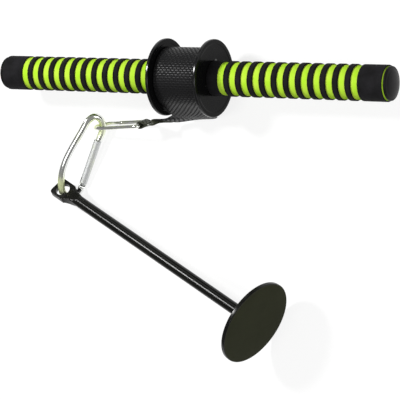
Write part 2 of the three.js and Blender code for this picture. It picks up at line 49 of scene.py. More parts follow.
camera = {
    "lens": 175.3,  # long lens, far away, so the bar hardly tapers
    "sensor": 36.0,
    "seesTo": 20.0,
    "distance": 1.985,
    "target": (-0.00171, -0.00223, 0.0),
    "back": (0.5067, 0.0, 0.8621),  # from the object towards the camera
    "up": (-0.0567, 0.9978, 0.0333),
}


def addObject(name, data):
    # A new object in the scene, where its data says
    made = bpy.data.objects.new(name, data)
    bpy.context.scene.collection.objects.link(made)
    return made


def makeCamera(values):
    # The camera's own X is up crossed with back, so the three make a right-handed frame
    back = Vector(values["back"]).normalized()
    up = Vector(values["up"])
    up = (up - up.dot(back) * back).normalized()
    data = bpy.data.cameras.new("benchCamera")
    data.lens = values["lens"]
    data.sensor_width = values["sensor"]
    data.clip_end = values["seesTo"]
    taken = addObject("benchCamera", data)
    turn = Matrix((up.cross(back), up, back)).transposed().to_4x4()
    taken.matrix_world = Matrix.Translation(Vector(values["target"]) + values["distance"] * back) @ turn
    bpy.context.scene.camera = taken


makeCamera(camera)
materials = {}


def newMaterial(name, colour, roughness, metallic=0.0, shine=0.5):
    # A principled shader, kept under the material's name. It comes with its node tree and a short way to add
    # sums to it. The shine is the specular level
    made = bpy.data.materials.new(name)
    made.use_nodes = True
    shader = made.node_tree.nodes["Principled BSDF"]
    for key, value in (("Base Color", (*colour, 1)), ("Roughness", roughness), ("Metallic", metallic),
                       ("Specular IOR Level", shine)):
        shader.inputs[key].default_value = value
    materials[name] = made
    return made.node_tree, shader, partial(mathNode, made.node_tree)


def addNode(tree, kind, values=None, **settings):
    # A node with its settings made, each socket given a plain value or joined to another node's output
    made = tree.nodes.new("ShaderNode" + kind)
    for key, value in settings.items():
        setattr(made, key, value)
    for key, value in (values or {}).items():
        if isinstance(value, bpy.types.NodeSocket):
            tree.links.new(value, made.inputs[key])
        else:
            made.inputs[key].default_value = value
    return made


def mathNode(tree, operation, *values):
    # One sum on numbers or on the outputs of other nodes
    return addNode(tree, "Math", dict(enumerate(values)), operation=operation).outputs[0]


def noiseOf(tree, scale, detail, stretch=(1, 1, 1), rough=0.5):
    # Noise on Object coordinates, stretched along the axes
    place = addNode(tree, "TexCoord").outputs["Object"]
    place = addNode(tree, "Mapping", {"Vector": place, "Scale": stretch}).outputs[0]
    made = addNode(tree, "TexNoise", {"Vector": place, "Scale": scale, "Detail": detail, "Roughness": rough})
    return made.outputs["Fac"]


def rangeOf(tree, value, given, wanted, shape="LINEAR"):
    # From one span of numbers to another, held at its ends
    spans = {0: value, 1: given[0], 2: given[1], 3: wanted[0], 4: wanted[1]}
    return addNode(tree, "MapRange", spans, interpolation_type=shape).outputs[0]


def mixColours(tree, factor, low, high):
    # Between two colours, each a plain one or another node's output
    low, high = ((*colour, 1) if isinstance(colour, tuple) else colour for colour in (low, high))
    return addNode(tree, "Mix", {0: factor, 6: low, 7: high}, data_type="RGBA").outputs[2]


def joinLooks(tree, shader, colour, rough, height, strength, depth):
    # Joins a shader to its colour and roughness, and to a bump of some height
    bump = addNode(tree, "Bump", {"Height": height, "Strength": strength, "Distance": depth})
    for key, output in (("Base Color", colour), ("Roughness", rough), ("Normal", bump.outputs[0])):
        tree.links.new(output, shader.inputs[key])


grips = {
    "baseRadius": 16.5,
    "baseCorners": (0, 0.3, 0.6, 0.9, 0.3, 0),
    "baseShow": 0.9,  # the base's end that shows past the last sleeve
    "tubeGap": 12.8,
    "start": 29.1,
    "end": 220.4,
    "endFace": 1.0,  # how far the base's section goes on inside its bore
    "ringInner": 16.75,
    "ringRadius": 17.8,
    "ringCorners": (0, 0.2, 1.15, 1.15, 0.2, 0),
    "ringFace": 0.6,
    "bandCount": 12,
    "bandPitch": 13.25,
    "greenBand": 6.9,
    "firstBand": 41.3,
    "sleeveOver": 8.0,  # a longer ring is a sleeve, with more rows along it
    "sleeveInset": 2.0,
    "sleeveRows": 9,
    "sides": 96,
    "unevenness": 0.07,  # how far the foam swells and shrinks round a ring
    # The sines that add up to the swell: share, waves round the bar, turn for each mm along it, lag
    "swell": ((1.0, 2, 0.0, 1.0), (0.6, 5, 0.0, 2.3), (0.4, 0, 0.5, 1.0)),
    "lagStep": 1.7,
}
greenShare = grips["greenBand"] / grips["bandPitch"]

foamLooks = {
    # Each foam: its two colours, the share of a pitch that its bands span, and the painted shading at its band
    # edges: painted light where positive, painted shade where negative
    "foams": {
        "limeFoam": ((0.47, 0.95, 0.009), (0.70, 1.0, 0.085), (0, greenShare), 0.7),
        "blackFoam": ((0.0035, 0.0034, 0.0032), (0.0195, 0.0185, 0.0215), (greenShare, 1), -1.1),
    },
    "edgePower": 3.0,
    "handledScale": 90.0,  # about 1 cm patches
    "handledNoise": (0.35, 0.65),
    "handledShade": (0.25, 0.75),
    "cellScale": 2600.0,  # about 0.4 mm cells
    "cellNoise": (0.3, 0.7),
    "cellStrength": 0.55,
    "cellDepth": 0.00006,
    "roughness": 0.8,
    "roughSpread": 0.1,
    "shine": 0.14,
}


def bandEdges(tree, calc, span):
    # Nearness to an edge of a band that takes a span of each pitch along the grip: 0 in its middle, 1 at its
    # edges, to the third power, and 0 on the long sleeves. It places the painted light and shade at the band edges
    place = addNode(tree, "TexCoord").outputs["Object"]
    out = calc("MULTIPLY", calc("ABSOLUTE", addNode(tree, "SeparateXYZ", {0: place}).outputs[0]), 1 / mm)
    pitches = calc("DIVIDE", calc("SUBTRACT", out, grips["firstBand"]), grips["bandPitch"])
    inBand = calc("ABSOLUTE", rangeOf(tree, calc("FRACT", pitches), span, (-1, 1)))
    onBands = calc("MULTIPLY", calc("GREATER_THAN", pitches, 0),
                   calc("LESS_THAN", pitches, grips["bandCount"] - 1 + greenShare))
    return calc("MULTIPLY", calc("POWER", inBand, foamLooks["edgePower"]), onBands)


def foamMaterial(name, dark, light, span, paintedEdgeShading):
    # Closed-cell foam: tiny pits, and a slow change of shade where it has been handled. Painted light and shade
    # follow the edges of each band: the lime is painted lighter at its edges, and the black darker at its edges,
    # so that its middle looks lit like a rounded ring
    looks, roughness, spread = foamLooks, foamLooks["roughness"], foamLooks["roughSpread"]
    tree, shader, calc = newMaterial(name, light, roughness, shine=looks["shine"])
    cells = noiseOf(tree, looks["cellScale"], 2)
    slow = noiseOf(tree, looks["handledScale"], 4)
    handled = rangeOf(tree, slow, looks["handledNoise"], looks["handledShade"])
    # Painted light and shade at the band edges, added to the handled shade
    shade = calc("MULTIPLY_ADD", bandEdges(tree, calc, span), paintedEdgeShading, handled)
    rough = rangeOf(tree, cells, looks["cellNoise"], (roughness - spread, roughness + spread))
    joinLooks(tree, shader, mixColours(tree, shade, dark, light), rough, cells,
              looks["cellStrength"], looks["cellDepth"])


plasticLooks = {
    # Each plastic: its colour, roughness, shine and the height of its waves in metres
    "plastics": {
        "glossBlackPlastic": ((0.0062, 0.0062, 0.0066), 0.15, 0.05, 0.00008),
        "polishedRim": ((0.0062, 0.0062, 0.0066), 0.12, 0.3, 0.00001),
        "capPlastic": ((0.012, 0.012, 0.0125), 0.3, 0.07, 0.00005),
        "matteBlackPlastic": ((0.02, 0.02, 0.021), 0.5, 0.4, 0.00005),
    },
    "waveScale": 160.0,
    "waveStrength": 0.25,
    "rubbedScale": 700.0,
    "rubbedGrit": 0.65,
    "dullNoise": (0.42, 0.75),
    "duller": 0.14,
    "paleNoise": (0.45, 0.8),
    "paler": (1.5, 0.001),  # worn colour: times the first, plus the second
}


def plasticMaterial(name, colour, roughness, shine, wave):
    # Moulded plastic: a slight waviness in the gloss, and rubbed patches that are a little duller and paler
    looks = plasticLooks
    tree, shader, _ = newMaterial(name, colour, roughness, shine=shine)
    slow = noiseOf(tree, looks["waveScale"], 2)
    rubbed = noiseOf(tree, looks["rubbedScale"], 4, rough=looks["rubbedGrit"])
    rough = rangeOf(tree, rubbed, looks["dullNoise"], (roughness, roughness + looks["duller"]))
    worn = tuple(looks["paler"][0] * c + looks["paler"][1] for c in colour)
    shade = mixColours(tree, rangeOf(tree, rubbed, looks["paleNoise"], (0, 1)), colour, worn)
    joinLooks(tree, shader, shade, rough, slow, looks["waveStrength"], wave)


zincLooks = {
    # Each zinc: its colour and roughness, and whether it has rubbed places, which also carry a painted reflection
    "zincs": {
        "brightZinc": ((0.88, 0.89, 0.87), 0.1, True),
        "brushedZinc": ((0.66, 0.67, 0.67), 0.56, False),
    },
    "yellow": (0.84, 0.92, 0.46),  # yellow-green: the plating's cast in random patches, and a painted reflection of the green foam where the links rub
    "patchScale": 55.0,
    "patchNoise": (0.5, 0.75),
    "patchTint": (0, 0.35),
    "spotScale": 900.0,
    "spotNoise": (0.4, 0.8),
    "spotRough": 0.03,
    "spotStrength": 0.02,
    "spotDepth": 0.00001,
    "rubbedAt": ((-0.1264, 0.0672, 0.0118), (-0.1632, 0.0038, 0.0195)),
    "rubbedReach": (0.00595, 0.017),  # full within the first distance, gone at the second
    "rubbedTint": 0.8,
    "rubbedRough": 0.42,
}


def zincMaterial(name, colour, roughness, isRubbedAndReflecting):
    # Bright zinc on drawn wire: patches of passivation and duller handling spots. Where the links rub the zinc is
    # duller and carries a painted reflection of the green foam, a yellow-green tint; both fade smoothly with the
    # distance to the nearest of those places
    looks = zincLooks
    tree, shader, calc = newMaterial(name, colour, roughness, 1.0)
    tint = rangeOf(tree, noiseOf(tree, looks["patchScale"], 3), looks["patchNoise"], looks["patchTint"])
    spots = noiseOf(tree, looks["spotScale"], 3)
    rough = rangeOf(tree, spots, looks["spotNoise"], (roughness, roughness + looks["spotRough"]))
    if isRubbedAndReflecting:
        place = addNode(tree, "TexCoord").outputs["Object"]
        apart = [addNode(tree, "VectorMath", {0: place, 1: point}, operation="DISTANCE").outputs["Value"]
                 for point in looks["rubbedAt"]]
        # Rubbed places: duller, and tinted yellow-green as a painted reflection of the green foam
        rubbed = rangeOf(tree, calc("MINIMUM", *apart), looks["rubbedReach"], (1, 0), "SMOOTHSTEP")
        tint = calc("MAXIMUM", tint, calc("MULTIPLY", rubbed, looks["rubbedTint"]))
        rough = calc("MULTIPLY_ADD", rubbed, looks["rubbedRough"], rough)
    shade = mixColours(tree, tint, colour, looks["yellow"])
    joinLooks(tree, shader, shade, rough, spots, looks["spotStrength"], looks["spotDepth"])


steelLooks = {
    "steels": {
        "drawnSteel": ((0.56, 0.57, 0.58), 0.34),
        "blackenedSteel": ((0.12, 0.12, 0.12), 0.4),
    },
    "streakScale": 420.0,
    "streakStretch": (0.06, 1, 1),
    "streakNoise": (0.3, 0.7),
    "streakRough": (-0.08, 0.14),
    "streakShade": 0.7,
    "streakStrength": 0.15,
    "streakDepth": 0.00004,
}


def steelMaterial(name, colour, roughness):
    # Drawn steel: streaks along X
    looks = steelLooks
    tree, shader, _ = newMaterial(name, colour, roughness, 1.0)
    streaks = noiseOf(tree, looks["streakScale"], 4, looks["streakStretch"])
    rough = rangeOf(tree, streaks, looks["streakNoise"], [roughness + more for more in looks["streakRough"]])
    shade = mixColours(tree, streaks, tuple(looks["streakShade"] * c for c in colour), colour)
    joinLooks(tree, shader, shade, rough, streaks, looks["streakStrength"], looks["streakDepth"])


paintLooks = {
    # Each paint: its two colours, roughness, shine and the depth of its orange peel in metres
    "paints": {
        "blackEnamel": ((0.0042, 0.0044, 0.0036), (0.0085, 0.0087, 0.0070), 0.19, 0.17, 0.000004),
        "oliveEnamel": ((0.0265, 0.0290, 0.0112), (0.0335, 0.0365, 0.0145), 0.5, 0.05, 0.00004),
    },
    "slowScale": 38.0,
    "slowShare": 0.65,
    "gritScale": 1500.0,
    "gritShare": 0.35,
    "shadeNoise": (0.36, 0.62),
    "gritNoise": (0.3, 0.7),
    "gritRough": (-0.04, 0.06),
    "peelScale": 520.0,
    "peelStrength": 0.15,
}


def paintMaterial(name, dark, light, roughness, shine, peel):
    # Enamel over steel: orange peel, and fine grit in the colour
    looks = paintLooks
    tree, shader, calc = newMaterial(name, light, roughness, shine=shine)
    slow = noiseOf(tree, looks["slowScale"], 3)
    grit = noiseOf(tree, looks["gritScale"], 2)
    mixed = calc("MULTIPLY_ADD", grit, looks["gritShare"], calc("MULTIPLY", slow, looks["slowShare"]))
    shade = mixColours(tree, rangeOf(tree, mixed, looks["shadeNoise"], (0, 1)), dark, light)
    rough = rangeOf(tree, grit, looks["gritNoise"], [roughness + more for more in looks["gritRough"]])
    joinLooks(tree, shader, shade, rough, noiseOf(tree, looks["peelScale"], 2), looks["peelStrength"], peel)


webbingLooks = {
    # The weave's colour runs from dark down in its grooves, a painted shade, to the thread's own colour on its
    # ribs
    "dark": (0.0022, 0.0022, 0.0025),
    "thread": (0.0105, 0.0105, 0.0112),
    "threadNoise": (0.3, 0.7),
    "threadShade": (0.6, 1),
    "grainScale": 800.0,
    "rowPitch": 2.6,  # mm along the strap
    "ribPower": 0.5,
    "ribShare": 0.86,  # of the weave's height
    "columnPitch": 4.6,  # mm across the strap
    "floatWidth": 0.74,  # of the column that the raised thread covers
    "floatPower": 0.6,
    "floatShare": 0.14,
    "fibrePitch": 0.46,
    "fibreShare": 0.04,
    "rubbed": (0.062, 0.068, 0.044),  # painted light: the doubled end's lit side, lighter and olive
    "rubbedSpan": (-27.0, -21.0),  # mm from the sewn end, negative up the strap
    "rubbedMost": 0.85,
    # A painted highlight: a pale, slightly raised zigzag row near the end, where the hook's wire glints through
    # the loop
    "stitch": (0.55, 0.56, 0.52),
    "stitchSpan": (-3.3, -1.3),
    "stitchPitch": 0.9,
    "stitchWave": (-0.9, 0.2),
    "stitchLow": 0.15,
    "stitchHeight": 0.6,
    "roughness": 0.26,
    "grooveRough": 0.55,  # how much rougher the grooves are
    "grooveWave": (0.1, 0.7),
    "shine": 0.2,
    "depth": 0.00026,
}


def webbingMaterial(name):
    # Coarse woven tape, with u in mm along it and v in mm across. Each row is a rib, a power of sin(pi u / pitch),
    # with a little of the raised floats of thread in it: half sines both ways, each row moved on by half a column,
    # and fine fibres on top. The colour is darker in the grooves, a painted shade. Near the sewn end lies a pale,
    # slightly raised zigzag row, a painted highlight of the hook's wire, and the end of the strap is lighter and
    # olive with painted light
    looks, roughness = webbingLooks, webbingLooks["roughness"]
    tree, shader, calc = newMaterial(name, looks["thread"], roughness, shine=looks["shine"])
    flat = addNode(tree, "UVMap", uv_map="strapUv").outputs[0]
    u, v = addNode(tree, "SeparateXYZ", {0: flat}).outputs[:2]

    def waves(place, pitch):
        return calc("SINE", calc("MULTIPLY", place, 2 * math.pi / pitch))

    def halfWave(share):
        return calc("SINE", calc("MULTIPLY", share, math.pi))

    along = calc("DIVIDE", u, looks["rowPitch"])
    moved = calc("MULTIPLY_ADD", calc("FLOOR", along), 0.5, calc("DIVIDE", v, looks["columnPitch"]))
    inFloat = calc("MINIMUM", calc("DIVIDE", calc("FRACT", moved), looks["floatWidth"]), 1)
    humpU = halfWave(calc("FRACT", along))
    floats = calc("POWER", calc("MULTIPLY", humpU, halfWave(inFloat)), looks["floatPower"])
    rib = calc("POWER", humpU, looks["ribPower"])
    hump = calc("MULTIPLY_ADD", rib, looks["ribShare"], calc("MULTIPLY", floats, looks["floatShare"]))
    height = calc("MULTIPLY_ADD", waves(v, looks["fibrePitch"]), looks["fibreShare"], hump)
    grain = rangeOf(tree, noiseOf(tree, looks["grainScale"], 3), looks["threadNoise"], looks["threadShade"])
    # Darker where the weave is lower: painted shade in the grooves, with random grain in the thread
    woven = mixColours(tree, calc("MULTIPLY", hump, grain), looks["dark"], looks["thread"])
    # The last part of the strap and its doubled end are lighter and olive: painted light
    paintedLightShare = rangeOf(tree, u, looks["rubbedSpan"], (0, looks["rubbedMost"]))
    cloth = mixColours(tree, paintedLightShare, woven, looks["rubbed"])
    # The pale zigzag row near the end is a painted highlight of the hook's wire
    inGlintRow = calc("MULTIPLY", calc("GREATER_THAN", u, looks["stitchSpan"][0]),
                calc("LESS_THAN", u, looks["stitchSpan"][1]))
    zigzag = rangeOf(tree, waves(v, looks["stitchPitch"]), looks["stitchWave"], (looks["stitchLow"], 1))
    paintedGlintRow = calc("MULTIPLY", inGlintRow, zigzag)
    rough = rangeOf(tree, floats, looks["grooveWave"], (roughness + looks["grooveRough"], roughness))
    height = calc("MULTIPLY_ADD", paintedGlintRow, looks["stitchHeight"], height)
    joinLooks(tree, shader, mixColours(tree, paintedGlintRow, cloth, looks["stitch"]), rough, height, 1, looks["depth"])


for makeMaterial, finishes in ((foamMaterial, foamLooks["foams"]), (plasticMaterial, plasticLooks["plastics"]),
                               (zincMaterial, zincLooks["zincs"]), (steelMaterial, steelLooks["steels"]),
                               (paintMaterial, paintLooks["paints"]), (webbingMaterial, {"wovenWebbing": ()})):
    for name, finish in finishes.items():
        makeMaterial(name, *finish)
print("materials made:", len(materials))


def gridFaces(rows, columns, closeRows=False):
    # Four corners of each cell of a grid of points numbered row by row; the last column meets the first, and
    # the last row too if asked
    i = np.arange(rows if closeRows else rows - 1)[:, None]
    j = np.arange(columns)[None, :]
    a = i * columns + j
    b = i * columns + (j + 1) % columns
    c = ((i + 1) % rows) * columns + (j + 1) % columns
    d = ((i + 1) % rows) * columns + j
    return np.stack([a, b, c, d], -1).reshape(-1, 4)


def closedTube(rings, ends):
    # A grid of rings, with a fan of triangles from each end's point to the ring beside it
    rows, sides = rings.shape[:2]
    k = np.arange(sides)
    turned, point, last = (k + 1) % sides, 0 * k + rows * sides, (rows - 1) * sides
    near = np.stack([point, point, turned, k], -1)
    far = np.stack([last + k, last + turned, point + 1, point + 1], -1)
    return np.concatenate([rings.reshape(-1, 3), ends]), np.concatenate([gridFaces(rows, sides), near, far])


def closedBand(rings):
    # A grid of flat rings, each a line out and as many points back, with a strip between the two at both ends
    rows, columns = rings.shape[:2]
    k = np.arange(columns // 2 - 1)
    strip = np.stack([k, k + 1, columns - 2 - k, columns - 1 - k], -1)
    faces = [gridFaces(rows, columns), strip[:, ::-1], strip + (rows - 1) * columns]
    return rings.reshape(-1, 3), np.concatenate(faces)


def signedVolume(points, faces):
    # A sixth of the sum of a . (b x c) over the triangles of the faces, positive when they point outwards
    a, b, c, d = (points[faces[:, k]] for k in range(4))
    first = np.einsum("ij,ij->i", a, np.cross(b, c)).sum()
    return (first + np.einsum("ij,ij->i", a, np.cross(c, d)).sum()) / 6


def makeMesh(name, points, faces, uv=None):
    # Puts whole arrays into a mesh, turned outwards. A face of four that names a corner twice running is a
    # triangle: the second one is left out, and each face starts where the ones before it end
    points = np.asarray(points, np.float32)
    faces = np.asarray(faces, np.int32)
    if signedVolume(points, faces) < 0:
        faces = faces[:, ::-1]
    kept = np.ones(faces.shape, bool)
    kept[:, 1:] = faces[:, 1:] != faces[:, :-1]
    corners = np.ascontiguousarray(faces[kept])
    starts = np.cumsum(kept.sum(1)) - kept.sum(1)
    made = bpy.data.meshes.new(name)
    made.vertices.add(len(points))
    made.vertices.foreach_set("co", points.ravel())
    made.loops.add(len(corners))
    made.loops.foreach_set("vertex_index", corners)
    made.polygons.add(len(faces))
    made.polygons.foreach_set("loop_start", starts.astype(np.int32))
    made.polygons.foreach_set("use_smooth", np.ones(len(faces), bool))
    if uv is not None:
        layer = made.uv_layers.new(name="strapUv")
        layer.data.foreach_set("uv", uv[corners].astype(np.float32).ravel())
    made.update(calc_edges=True)
    return made


def makePiece(name, shape, body, finish, node):
    # A finished piece from a mesh or its arrays: at the origin, riding its body, with its finish, in place of
    # the node that it stands for
    mesh = shape if isinstance(shape, bpy.types.Mesh) else makeMesh(name, *shape)
    piece = addObject(name, mesh)
    mesh.materials.clear()
    mesh.materials.append(materials[finish])
    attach(piece, body)
    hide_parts(node)
    return piece


def finishRim(piece, points, faces, fromRadius, finish):
    # The faces whose corners lie beyond a radius on average take another finish
    corners = points[faces]
    distance = np.hypot(corners[..., 1], corners[..., 2]).mean(1)
    piece.data.materials.append(materials[finish])
    piece.data.polygons.foreach_set("material_index", (distance > fromRadius).astype(np.int32))


def rounded(points, radii, steps):
    # Each corner of an open line becomes an arc: it leaves both sides at its radius from the corner, or before
    # their middle, and the points between are a quadratic blend of start, corner and end
    points = np.asarray(points, float)
    most = 0.49
    out = [points[:1]]
    t = np.linspace(0, 1, steps)[:, None]
    for k in range(1, len(points) - 1):
        before = points[k - 1] - points[k]
        after = points[k + 1] - points[k]
        reach = min(radii[k], most * np.linalg.norm(before), most * np.linalg.norm(after))
        start = points[k] + reach * before / np.linalg.norm(before)
        end = points[k] + reach * after / np.linalg.norm(after)
        out.append((1 - t) ** 2 * start + 2 * t * (1 - t) * points[k] + t ** 2 * end)
    out.append(points[-1:])
    return np.concatenate(out)


def turnedSurface(profile, sides, closed=False):
    # (x, r) carried round the X axis: x, r sin a, r cos a. An open profile starts and ends on the axis
    profile = np.asarray(profile, float)
    line = profile if closed else profile[1:-1]
    x, r = line[:, :1], line[:, 1:]
    angle = np.linspace(0, 2 * np.pi, sides, endpoint=False)
    rings = np.stack([x + 0 * angle, r * np.sin(angle), r * np.cos(angle)], -1)
    if closed:
        return rings.reshape(-1, 3), gridFaces(len(line), sides, closeRows=True)
    return closedTube(rings, [[profile[0, 0], 0, 0], [profile[-1, 0], 0, 0]])


def onBar(points):
    # From mm about the bar's centre to the bench
    return points * mm + barCentre


halves = {"left": -1, "right": 1}


def makeHalf(half, shape, name, finish, node):
    # A piece of one half of the bar. The left half is the right half turned half round the vertical
    points, faces = shape
    points = points * np.array([halves[half], halves[half], 1.0])
    return makePiece(f"{half}_{name}", (onBar(points), faces), "roller", finish, f"{half}_{node}")


def foamSpans(values):
    # The drum-side sleeve, the rings between the green bands, and the outer sleeve
    starts = values["firstBand"] + values["bandPitch"] * np.arange(values["bandCount"]) + values["greenBand"]
    ends = starts + values["bandPitch"] - values["greenBand"]
    ends[-1] = values["end"] - values["baseShow"]
    spans = np.stack([starts, ends], -1)
    return np.concatenate([[[values["start"], values["firstBand"]]], spans])


def foamRing(span, values, lag):
    # A rounded rectangle carried round the bar. Its outside swells by slow sines round and along it, and loses
    # unevenness * (1 + swell / 2) in mm
    low, high = span
    inner, outer, face, inset = (values[key] for key in ("ringInner", "ringRadius", "ringFace", "sleeveInset"))
    line = rounded([[low + face, inner], [low, inner], [low, outer], [high, outer], [high, inner],
                    [high - face, inner]], values["ringCorners"], 7)
    if high - low > values["sleeveOver"]:
        fill = np.linspace(low + inset, high - inset, values["sleeveRows"])
        at = np.argmax(line[:, 0] > low + inset)
        line = np.insert(line, at, np.stack([fill, 0 * fill + outer], -1), axis=0)
    points, faces = turnedSurface(line, values["sides"], closed=True)
    angle = np.arctan2(points[:, 1], points[:, 2])
    swell = sum(share * np.sin(waves * angle + turn * points[:, 0] + late * lag)
                for share, waves, turn, late in values["swell"])
    radius = np.hypot(points[:, 1], points[:, 2])
    share = np.clip((radius - inner) / (outer - inner), 0, 1)
    grow = 1 - values["unevenness"] * (1 + swell / 2) * share / radius
    return points * np.stack([np.ones_like(grow), grow, grow], -1), faces


def makeGrips(values):
    # A green base sleeve at each end of the bar, and the black bands pushed over it
    start, end, gap, radius, face = (values[key] for key in ("start", "end", "tubeGap", "baseRadius", "endFace"))
    line = [[start + face, gap], [start, gap], [start, radius], [end, radius], [end, gap], [end - face, gap]]
    base = turnedSurface(rounded(line, values["baseCorners"], 6), values["sides"], closed=True)
    for half, side in halves.items():
        pieces = [makeHalf(half, base, "foam_base", "limeFoam", "grip_base")]
        for index, span in enumerate(foamSpans(values), 1):
            ring = foamRing(span, values, values["lagStep"] * index + side)
            pieces.append(makeHalf(half, ring, f"foam_band_{index}", "blackFoam",
                                   f"foam_ring_{index}"))
    print("grips made")


makeGrips(grips)

caps = {
    "radius": 16.6,
    "spigot": 10.7,
    "spigotFrom": 198.0,
    "spigotTip": (1.5, 0.8),  # how far the tip is drawn in, along and across
    "seat": 220.7,
    "rim": 2.2,
    "dome": 2.6,
    "domePower": 2.2,
    "domeShare": 0.9,  # of the radius
    "domeRows": 14,
    "groove": 0.25,  # moulding line where the rim meets the dome
    "corners": (0, 0.3, 0.3, 0.4, 0.5, 0.9, 0),
    "sides": 96,
}


def makeCaps(values):
    # A spigot, a flange with a rounded rim, and a shallow dome: x = seat + rim + dome * (1 - (r / radius) ** p)
    seat, front, radius = values["seat"], values["seat"] + values["rim"], values["radius"]
    spigot, spigotFrom, tip = values["spigot"], values["spigotFrom"], values["spigotTip"]
    r = np.linspace(values["domeShare"] * radius, 0, values["domeRows"])
    dome = np.stack([front + values["dome"] * (1 - (r / radius) ** values["domePower"]), r], -1)
    line = [[spigotFrom, 0], [spigotFrom, spigot - tip[1]], [spigotFrom + tip[0], spigot], [seat, spigot],
            [seat, radius], [front, radius], dome[0]]
    groove = [[dome[1, 0] - values["groove"], dome[1, 1]]]
    shape = turnedSurface(np.concatenate([rounded(line, values["corners"], 6), groove, dome[2:]]), values["sides"])
    for half in halves:
        makeHalf(half, shape, "domed_cap", "capPlastic", "end_cap")
    print("caps made")


makeCaps(caps)

flanges = {
    "radius": 39.0,
    "bore": 12.8,
    "inner": 25.8,
    "outer": 28.8,
    "stepRadius": 34.5,  # a moulded step that stiffens the rim
    "stepDepth": 0.25,
    "stepSlopes": (0.3, 0.6),  # how far it slopes, at the bore and at the rim
    "corners": (0, 0.1, 0.3, 0.3, 0.8, 0.8, 0.3, 0.3, 0.1, 0),
    "polishedRim": 0.72,  # from the edge inwards
    "sides": 160,
}


def makeFlanges(values):
    # A disc with a rounded rim and a shallow step on both faces
    bore, step, radius, slopes = (values[key] for key in ("bore", "stepRadius", "radius", "stepSlopes"))

    def face(x, depth):
        return [[x, bore], [x + depth, bore + slopes[0]], [x + depth, step - slopes[1]], [x, step], [x, radius]]

    line = face(values["inner"], values["stepDepth"]) + face(values["outer"], -values["stepDepth"])[::-1]
    points, faces = turnedSurface(rounded(line, values["corners"], 7), values["sides"], closed=True)
    for half in halves:
        piece = makeHalf(half, (points, faces), "drum_flange", "glossBlackPlastic", "flange")
        finishRim(piece, points, faces, radius - values["polishedRim"], "polishedRim")
    print("flanges made")


makeFlanges(flanges)

strap = {
    "width": 50.0,
    "thickness": 1.5,
    "edgeRound": 0.45,
    "edgeLeast": 0.02,  # the square of the share of the thickness that is left at the very edge
    "crowding": 0.8,  # below 1 the points across are closer at the edges
    "across": 25,
    "woundRadius": 30.5,
    "woundRows": 150,
    "startAngle": 101.0,  # where the outer turn comes out from under itself
    "leaveAngle": 69.0,  # degrees from the top of the drum
    "innerFrom": 21.45,
    "innerTo": 27.8,
    "innerTurns": 4.4,
    "innerPitch": 1.62,
    "innerInset": 0.2,
    "innerRows": 420,
    "innerAcross": 13,
    # The edges' places on the way to the hook: along the bar, out from its axis, and up from the bench
    "nearEdge": ((-24.80, -37.50, 27.99), (-29.97, -39.58, 23.99), (-35.97, -41.98, 23.99),
                 (-49.85, -43.78, 26.98)),
    "farEdge": ((24.48, -36.52, 22.01), (17.04, -38.19, 12.01), (-5.99, -39.58, 6.49), (-33.00, -43.70, 7.50)),
    "runRows": 90,
    "foldHeight": 11.8,
    "loopGap": 0.3,
    "loopReach": 9.88,
    "loopFlat": 1.02,  # half the doubled tail, over the strap's thickness
    "loopWaist": 0.6,  # where the tail starts to narrow, over the loop's radius
    "loopTail": 0.8,  # where it is narrow, over its reach
    "loopBends": (0, 2, 2, 0),
    "loopSlit": 0.02,
    "loopSteps": 24,
    "loopRows": 9,
    "loopFrom": 1.0,  # mm along the cloth, past the painted highlight row
}
hook = {
    "reach": 62.8,
    "breadth": 20.4,
    "originAcross": 10.2,
    "corner": 4.0,
    "wire": 2.0,
    "heelFrom": -0.1,
    "noseShort": 1.3,  # of the wire's radius, from the nose to the gate's end
    "bendSteps": 14,
    "bowSteps": 40,
    "gate": 2.3,
    "gateFrom": 7.0,
    "gateTo": 34.0,
    "tongue": 1.7,
    "rivet": 0.9,
    "at": (-63.1, -47.6, 21.3),
    "heading": 183.6,
    "rise": -10.0,
    "lean": 71.4,
}
carabiner = {
    "reach": 92.0,
    "breadth": 26.0,
    "originAcross": 0.0,
    "wire": 3.6,
    "gate": 3.9,
    "gateFrom": 0.0,
    "gateTo": 48.0,
    "tongue": 2.6,
    "rivet": 1.4,
    "at": (-142.706, -111.195, 4.42),
    "heading": 68.1,
    "rise": 5.5,
    "lean": 48.0,
    "outline": ((-0.015, 0), (-0.12, 0.05), (-0.191, 0.262), (-0.204, 0.481), (-0.176, 0.692), (-0.087, 0.854),
                (0.038, 0.977), (0.185, 1), (0.359, 0.923), (0.565, 0.777), (0.717, 0.662), (0.789, 0.469),
                (0.78, 0.215), (0.723, 0.023), (0.62, -0.045), (0.4709, 0)),
    "outlineSteps": 240,
}
drumHeight = 38.88  # the bar's axis over the bench, in the values above


def linkFrame(link):
    # Turn about Z by the heading, about Y by minus the rise, about X by the lean; then to the link's place
    turn = Matrix.Rotation(math.radians(link["heading"]), 4, "Z")
    turn = turn @ Matrix.Rotation(-math.radians(link["rise"]), 4, "Y")
    turn = turn @ Matrix.Rotation(math.radians(link["lean"]), 4, "X")
    x, y, z = link["at"]
    return np.array(Matrix.Translation((x, y, z - drumHeight)) @ turn)


def placed(points, link, inner=0):
    # From the link's own frame, in mm, to the bench; from its gate's frame if its place in the link is given
    turn = linkFrame(link)
    return onBar((points + inner) @ turn[:3, :3].T + turn[:3, 3])


